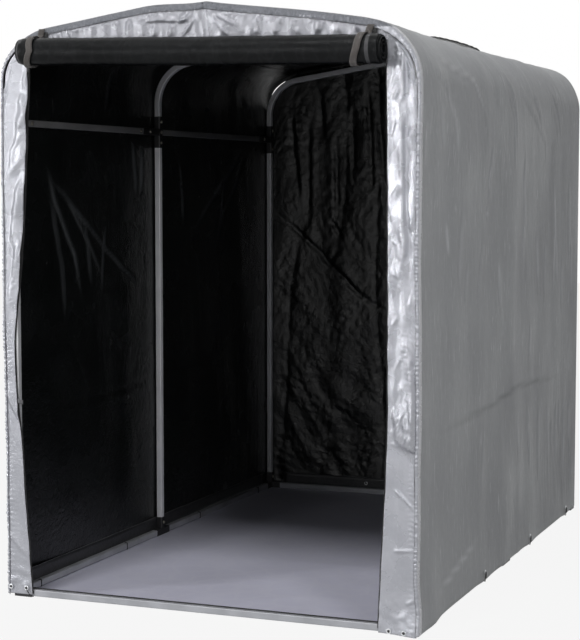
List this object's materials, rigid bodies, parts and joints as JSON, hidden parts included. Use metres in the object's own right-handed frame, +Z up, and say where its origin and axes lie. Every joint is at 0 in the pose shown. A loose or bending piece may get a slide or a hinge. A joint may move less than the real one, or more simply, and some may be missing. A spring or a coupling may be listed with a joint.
{
  "type": "bike shelter",
  "caption": "Walk-in bike shelter: a silver woven cover over a frame of tube hoops, with a rolled-up door, a sill and a ground sheet.",
  "frame": {"origin": "centre of the footprint, on the ground", "axes": "+Z up, +Y towards the back wall, +X to the right as seen from the doorway side, which faces -Y"},
  "size_m": [1.565, 2.5889, 2.145],
  "materials": {
    "bare_tube": "drawn, satin",
    "dark_bar": "satin powder coat",
    "moulded_joint": "fine grain",
    "cover_sheet": "woven sheet, silver outside and black inside",
    "rolled_sheet": "woven sheet, glossy black side out",
    "strap_webbing": "flat webbing",
    "black_tape": "flat tape",
    "floor_cloth": "smooth coated cloth"
  },
  "bodies": {
    "root": {"door_straps": "strap_webbing", "floor_sheet": "floor_cloth", "front_bar_joints": "moulded_joint", "front_corner_feet": "moulded_joint", "front_header": "cover_sheet", "front_sill": "bare_tube", "left_door_flap": "cover_sheet", "left_front_base_rail": "bare_tube", "left_front_bow": "bare_tube", "left_front_post": "bare_tube", "left_front_side_bar": "dark_bar", "left_middle_bow": "bare_tube", "left_middle_post": "bare_tube", "left_rear_base_rail": "bare_tube", "left_rear_bow": "bare_tube", "left_rear_post": "bare_tube", "left_rear_side_bar": "dark_bar", "left_roof_panel": "cover_sheet", "left_side_panel": "cover_sheet", "middle_bar_joints": "moulded_joint", "middle_feet": "moulded_joint", "rear_bar_joints": "moulded_joint", "rear_base_rail": "bare_tube", "rear_corner_feet": "moulded_joint", "rear_panel": "cover_sheet", "ridge_bar_front": "bare_tube", "ridge_bar_rear": "bare_tube", "ridge_joints": "moulded_joint", "right_door_flap": "cover_sheet", "right_front_base_rail": "bare_tube", "right_front_bow": "bare_tube", "right_front_post": "bare_tube", "right_front_side_bar": "dark_bar", "right_middle_bow": "bare_tube", "right_middle_post": "bare_tube", "right_rear_base_rail": "bare_tube", "right_rear_bow": "bare_tube", "right_rear_post": "bare_tube", "right_rear_side_bar": "dark_bar", "right_roof_panel": "cover_sheet", "right_side_panel": "cover_sheet", "rolled_door": "rolled_sheet", "roof_vents": "cover_sheet", "sill_edge_strip": "black_tape", "zip_tapes": "black_tape"}
  },
  "joints": []
}
